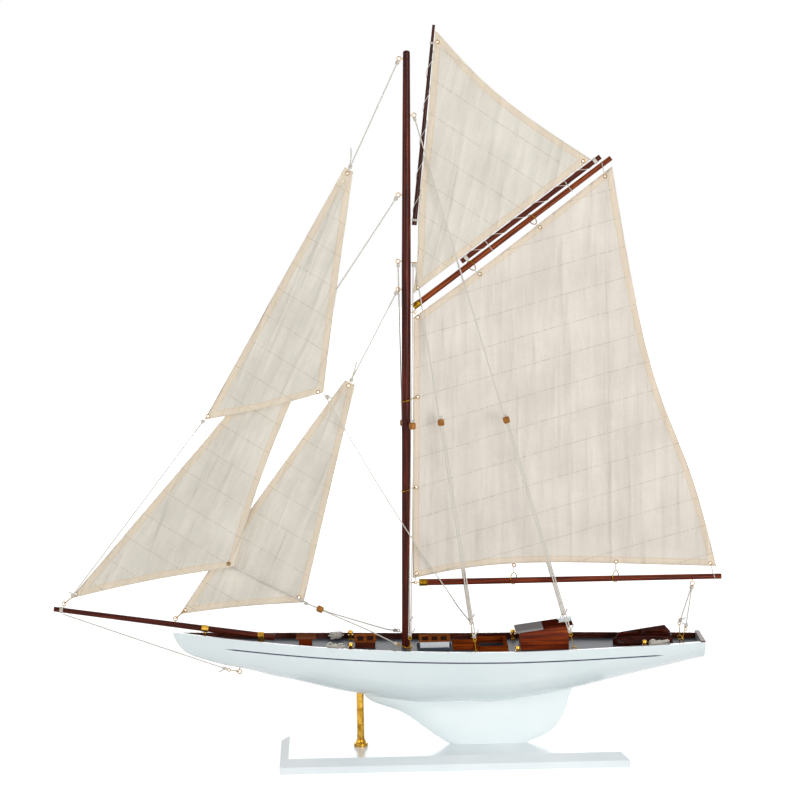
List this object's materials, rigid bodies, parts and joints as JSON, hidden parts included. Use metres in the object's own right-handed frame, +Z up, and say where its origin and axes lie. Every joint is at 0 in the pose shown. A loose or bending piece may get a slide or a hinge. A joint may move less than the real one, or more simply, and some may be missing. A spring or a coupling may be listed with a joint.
{
  "type": "model sailing ship",
  "caption": "Decorative model gaff cutter with mainsail, topsail and three headsails, standing rigging and deck fittings, on a bevelled display base.",
  "frame": {"origin": "centre of the display base's underside", "axes": "+Z up, bow towards -X, port side towards -Y"},
  "size_m": [0.5972, 0.104, 0.6543],
  "materials": {
    "paint_white": "gloss white paint",
    "paint_base": "gloss bluish white paint",
    "mahogany_dark": "dark varnished mahogany",
    "mahogany_orange": "orange-brown varnished mahogany",
    "deck_grey": "gloss slate-grey paint",
    "lining_brown": "satin brown",
    "roof_beige": "satin grey-beige",
    "brass": "polished",
    "steel": "plain",
    "bead_wood": "turned",
    "sail_cotton": "plain cotton cloth",
    "cord": "cotton cord"
  },
  "bodies": {
    "ship": {"base_board": "paint_base", "stand_screws": "steel", "stand_column": "brass", "column_collar": "brass", "hull": "paint_white", "keel_fin": "paint_white", "deck": "deck_grey", "bulwark_linings": "lining_brown", "transom_rail": "roof_beige", "fore_hatch": "mahogany_orange", "fore_skylight_base": "mahogany_dark", "fore_skylight_roof": "roof_beige", "main_skylight_base": "paint_white", "main_skylight_roof": "roof_beige", "cockpit_coaming": "mahogany_orange", "deckhouse": "mahogany_orange", "deckhouse_roof": "roof_beige", "companion_slide": "paint_white", "dinghy": "mahogany_dark", "bollards": "brass", "gammon_iron": "brass", "heel_strap": "brass", "mast": "mahogany_dark", "bowsprit": "mahogany_dark", "screw_eyes": "brass", "rigging_hooks": "brass", "flying_jib": "sail_cotton", "jib": "sail_cotton", "staysail": "sail_cotton", "headsail_grommets": "brass", "mast_hoops": "brass", "headsail_halyards": "cord", "headsail_sheets": "cord", "bead_headsail_sheet": "bead_wood", "flying_jib_sheet": "cord", "mainsheet": "cord", "rigging_port": "cord", "rigging_starboard": "cord", "hank_fore_port": "cord", "hank_fore_starboard": "cord", "hank_aft_port": "cord"},
    "boom_and_mainsail": {"boom": "mahogany_orange", "boom_fittings": "brass", "mainsail": "sail_cotton", "mainsail_grommets": "brass", "mainsail_ties": "cord"},
    "gaff_and_topsail": {"gaff": "mahogany_orange", "gaff_fittings": "brass", "jackyard": "mahogany_dark", "topsail_yard": "mahogany_dark", "topsail": "sail_cotton", "topsail_grommets": "brass", "spar_lashings": "cord"},
    "shroud_bead_port": {"bead_shroud_port": "bead_wood"},
    "shroud_bead_starboard": {"bead_shroud_starboard": "bead_wood"},
    "backstay_bead_port": {"bead_backstay_port": "bead_wood"},
    "backstay_bead_starboard": {"bead_backstay_starboard": "bead_wood"},
    "halyard_bead_port": {"bead_halyard_port": "bead_wood"},
    "halyard_bead_starboard": {"bead_halyard_starboard": "bead_wood"}
  },
  "joints": [
    {"name": "boom_swing", "type": "hinge", "parent": "ship", "child": "boom_and_mainsail", "pos_m": [-0.0319, 0, 0.1603], "axis": [0.0144, 0, 0.9999], "range_deg": [-4, 4], "deforming": ["mainsheet"]},
    {"name": "gaff_swing", "type": "hinge", "parent": "ship", "child": "gaff_and_topsail", "pos_m": [-0.02842, 0, 0.4027], "axis": [0.0144, 0, 0.9999], "range_deg": [-4, 4]},
    {"name": "shroud_bead_port_slide", "type": "slide", "parent": "ship", "child": "shroud_bead_port", "axis": [-0.1345, 0.1073, 0.9851], "range_m": [-0.015, 0]},
    {"name": "shroud_bead_starboard_slide", "type": "slide", "parent": "ship", "child": "shroud_bead_starboard", "axis": [-0.1345, -0.1073, 0.9851], "range_m": [-0.015, 0]},
    {"name": "backstay_bead_port_slide", "type": "slide", "parent": "ship", "child": "backstay_bead_port", "axis": [-0.2708, 0.0731, 0.9598], "range_m": [-0.015, 0]},
    {"name": "backstay_bead_starboard_slide", "type": "slide", "parent": "ship", "child": "backstay_bead_starboard", "axis": [-0.2708, -0.0731, 0.9598], "range_m": [-0.015, 0]},
    {"name": "halyard_bead_port_slide", "type": "slide", "parent": "ship", "child": "halyard_bead_port", "axis": [0.0303, 0.0787, 0.9964], "range_m": [-0.015, 0]},
    {"name": "halyard_bead_starboard_slide", "type": "slide", "parent": "ship", "child": "halyard_bead_starboard", "axis": [-0.01, -0.0818, 0.9966], "range_m": [-0.015, 0]}
  ],
  "couplings": [
    {"joint": "gaff_swing", "follows": "boom_swing", "ratio": 1}
  ]
}
